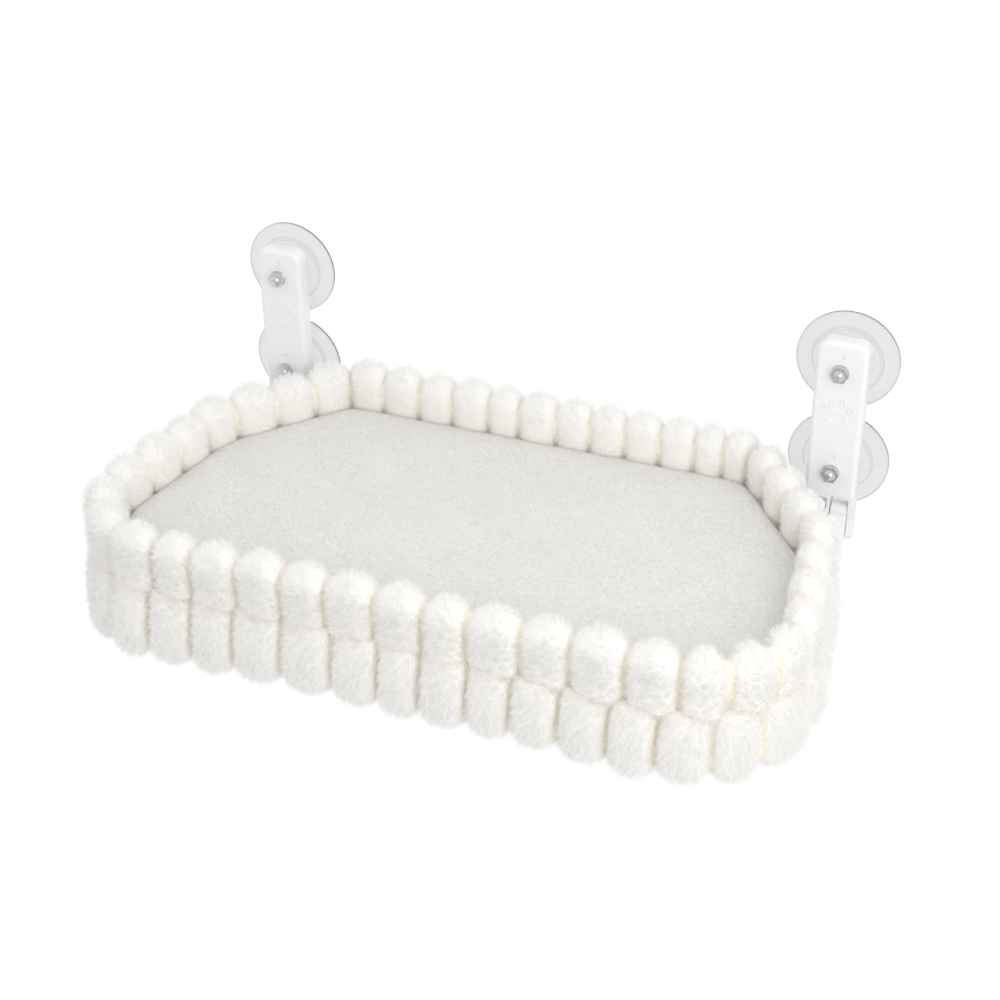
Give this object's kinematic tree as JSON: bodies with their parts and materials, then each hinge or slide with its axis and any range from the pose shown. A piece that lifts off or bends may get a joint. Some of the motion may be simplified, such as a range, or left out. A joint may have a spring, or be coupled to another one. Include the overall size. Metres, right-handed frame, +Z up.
{
  "type": "window mounted cat perch",
  "caption": "Plush-walled cat bed on a hinged tube frame, held on a window pane by suction-cup arms.",
  "frame": {"origin": "on the window pane, in the middle of the four suction cups", "axes": "+Y into the pane, +X to the right seen from the room, +Z up"},
  "size_m": [0.6116, 0.3569, 0.2245],
  "materials": {
    "arm_plastic": "satin white moulded plastic",
    "elbow_plastic": "satin white moulded plastic",
    "cup_vinyl": "clear soft vinyl",
    "stud_steel": "zinc-plated steel",
    "nut_chrome": "polished",
    "pin_steel": "plain steel",
    "frame_steel": "white powder coat",
    "panel_board": "plain fibreboard",
    "pad_plush": "short curly plush",
    "under_cloth": "woven cloth",
    "roll_plush": "long soft plush"
  },
  "bodies": {
    "window_side": {"arm_left": "arm_plastic", "arm_right": "arm_plastic", "cup_left_upper": "cup_vinyl", "cup_left_lower": "cup_vinyl", "cup_right_upper": "cup_vinyl", "cup_right_lower": "cup_vinyl", "cup_studs_left": "stud_steel", "cup_studs_right": "stud_steel", "washers_left": "stud_steel", "washers_right": "stud_steel", "cap_nuts_left": "nut_chrome", "cap_nuts_right": "nut_chrome", "hinge_pin_left": "pin_steel", "hinge_pin_right": "pin_steel", "pin_clip_left": "pin_steel", "pin_clip_right": "pin_steel"},
    "bed": {"elbow_left": "elbow_plastic", "elbow_right": "elbow_plastic", "socket_screw_left": "pin_steel", "socket_screw_right": "pin_steel", "bow_tube": "frame_steel", "rear_tube": "frame_steel", "middle_tube": "frame_steel", "base_panel": "panel_board", "pad": "pad_plush", "under_cover": "under_cloth", "rolls_upper_back": "roll_plush", "rolls_upper_rear_right": "roll_plush", "rolls_upper_side_right": "roll_plush", "rolls_upper_corner_right": "roll_plush", "rolls_upper_front": "roll_plush", "rolls_upper_corner_left": "roll_plush", "rolls_upper_side_left": "roll_plush", "rolls_upper_rear_left": "roll_plush", "rolls_lower_back": "roll_plush", "rolls_lower_rear_right": "roll_plush", "rolls_lower_side_right": "roll_plush", "rolls_lower_corner_right": "roll_plush", "rolls_lower_front": "roll_plush", "rolls_lower_corner_left": "roll_plush", "rolls_lower_side_left": "roll_plush", "rolls_lower_rear_left": "roll_plush"}
  },
  "joints": [
    {"name": "fold", "type": "hinge", "parent": "window_side", "child": "bed", "pos_m": [0, -0.0195, -0.084], "axis": [-1, 0, 0], "range_deg": [0, 60], "deforming": ["rolls_upper_back", "rolls_upper_rear_left", "rolls_upper_rear_right"]}
  ]
}
